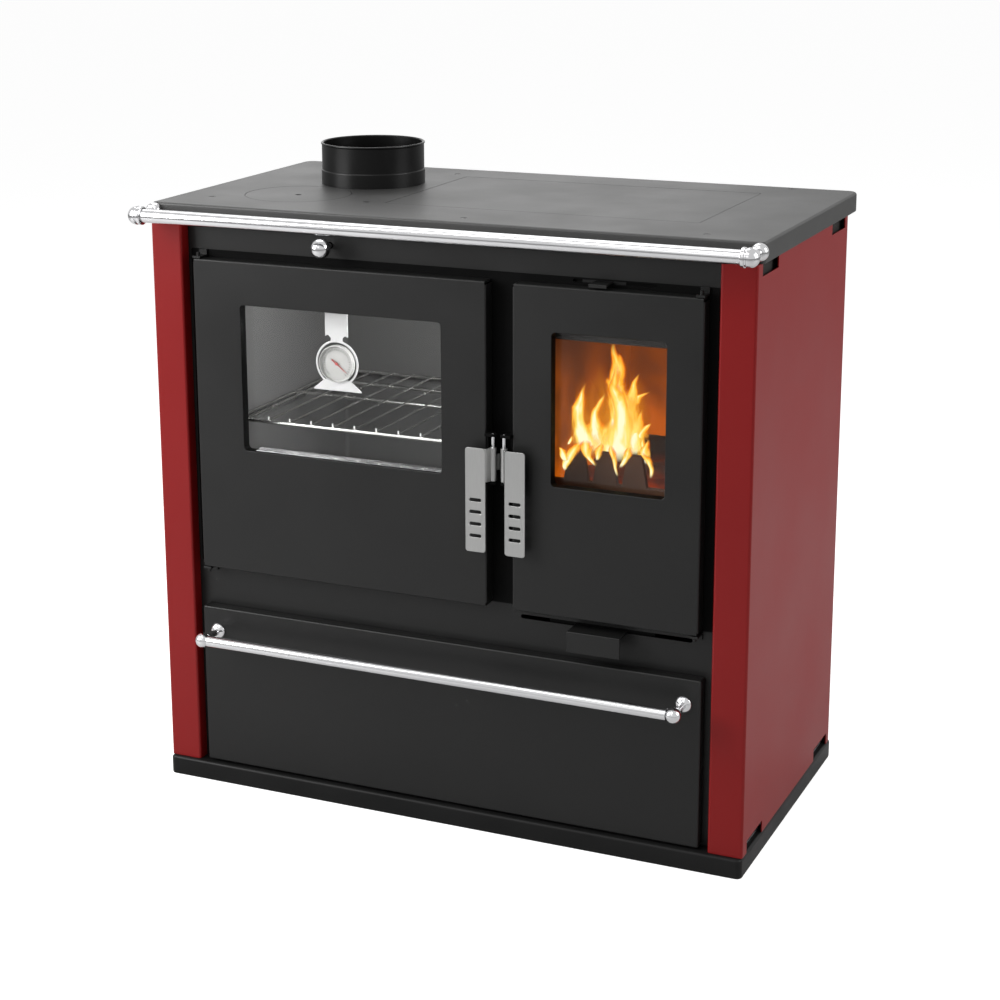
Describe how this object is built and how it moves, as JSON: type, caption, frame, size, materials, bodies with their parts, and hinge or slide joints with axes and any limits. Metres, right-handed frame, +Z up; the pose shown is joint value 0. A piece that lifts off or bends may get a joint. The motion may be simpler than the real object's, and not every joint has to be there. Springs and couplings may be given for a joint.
{
  "type": "wood cookstove",
  "caption": "Wood-burning cookstove with a glazed oven door, a glazed fire door, hob lids, flue collar, towel rail and wood drawer.",
  "frame": {"origin": "middle of the base plinth, on the floor", "axes": "+Z up, -Y out of the front where the doors are, +X to the viewer's right, towards the fire door"},
  "size_m": [0.8988, 0.5253, 0.9103],
  "materials": {
    "red_enamel": "satin",
    "black_paint": "satin",
    "hob_steel": "satin",
    "chrome": "polished",
    "brushed_steel": "brushed",
    "dark_iron": "matte",
    "zinc_sheet": "satin",
    "oven_steel": "satin",
    "firebrick": "matte",
    "seal_rope": "matte",
    "pale_dial": "satin",
    "red_needle": "satin",
    "window_glass": "polished"
  },
  "bodies": {
    "stove": {"base_plinth": "black_paint", "base_deck": "zinc_sheet", "side_panel_left": "red_enamel", "side_panel_right": "red_enamel", "inner_wall_left": "dark_iron", "inner_wall_right": "dark_iron", "front_panel": "black_paint", "back_panel": "black_paint", "hob_plate": "hob_steel", "flue_collar": "black_paint", "top_rail_tube": "chrome", "top_rail_end_left": "chrome", "top_rail_end_right": "chrome", "oven_liner": "oven_steel", "oven_rack": "chrome", "flue_divider": "dark_iron", "firebox_shell": "dark_iron", "firebrick_left": "firebrick", "firebrick_right": "firebrick", "firebrick_back": "firebrick", "fire_grate": "dark_iron", "log_guard": "dark_iron", "ash_pan": "zinc_sheet", "latch_keeper": "dark_iron", "drawer_runner_left": "zinc_sheet", "drawer_runner_right": "zinc_sheet", "oven_hinge_top": "black_paint", "oven_hinge_bottom": "black_paint", "fire_hinge_top": "black_paint", "fire_hinge_bottom": "black_paint"},
    "oven_door": {"oven_door_skin": "black_paint", "oven_door_glass": "window_glass", "oven_door_inner_panel": "dark_iron", "oven_door_seal": "seal_rope", "oven_handle_bracket": "black_paint", "oven_handle_pin": "chrome", "thermometer_plate": "brushed_steel", "thermometer_case": "pale_dial"},
    "oven_latch": {"oven_handle": "brushed_steel"},
    "needle": {"thermometer_needle": "red_needle"},
    "fire_door": {"fire_door_skin": "black_paint", "fire_door_glass": "window_glass", "fire_door_inner_panel": "dark_iron", "fire_door_seal": "seal_rope", "fire_handle_bracket": "black_paint", "fire_handle_pin": "chrome"},
    "fire_latch": {"fire_handle": "brushed_steel"},
    "drawer": {"drawer_front": "black_paint", "drawer_box": "zinc_sheet", "drawer_rail_tube": "chrome", "drawer_rail_end_left": "chrome", "drawer_rail_end_right": "chrome"},
    "damper": {"damper_knob": "chrome", "damper_rod": "chrome", "damper_flap": "dark_iron"},
    "lower_air": {"air_lever": "black_paint"},
    "upper_air": {"upper_air_lever": "black_paint"},
    "round_lid": {"hob_round_lid": "hob_steel"},
    "cook_plate": {"hob_cook_plate": "hob_steel"}
  },
  "joints": [
    {"name": "oven_door_hinge", "type": "hinge", "parent": "stove", "child": "oven_door", "pos_m": [-0.3645, -0.217, 0.5535], "axis": [0, 0, -1], "range_deg": [0, 110]},
    {"name": "oven_handle_turn", "type": "hinge", "parent": "oven_door", "child": "oven_latch", "pos_m": [0.0834, -0.2246, 0.532], "axis": [0, 0, 1], "range_deg": [0, 35]},
    {"name": "thermometer_dial", "type": "hinge", "parent": "oven_door", "child": "needle", "pos_m": [-0.162, -0.1994, 0.6405], "axis": [0, 1, 0], "range_deg": [-90, 150]},
    {"name": "fire_door_hinge", "type": "hinge", "parent": "stove", "child": "fire_door", "pos_m": [0.365, -0.217, 0.5535], "axis": [0, 0, 1], "range_deg": [0, 110]},
    {"name": "fire_handle_turn", "type": "hinge", "parent": "fire_door", "child": "fire_latch", "pos_m": [0.0991, -0.2246, 0.532], "axis": [0, 0, -1], "range_deg": [0, 35]},
    {"name": "drawer_slide", "type": "slide", "parent": "stove", "child": "drawer", "axis": [0, -1, 0], "range_m": [0, 0.3]},
    {"name": "damper_pull", "type": "slide", "parent": "stove", "child": "damper", "axis": [0, -1, 0], "range_m": [0, 0.05]},
    {"name": "lower_air_slide", "type": "slide", "parent": "stove", "child": "lower_air", "axis": [1, 0, 0], "range_m": [-0.07, 0.08]},
    {"name": "upper_air_slide", "type": "slide", "parent": "stove", "child": "upper_air", "axis": [1, 0, 0], "range_m": [-0.027, 0.045]},
    {"name": "round_lid_lift", "type": "slide", "parent": "stove", "child": "round_lid", "axis": [0, 0, 1], "range_m": [0, 0.12]},
    {"name": "cook_plate_lift", "type": "slide", "parent": "stove", "child": "cook_plate", "axis": [0, 0, 1], "range_m": [0, 0.12]}
  ]
}
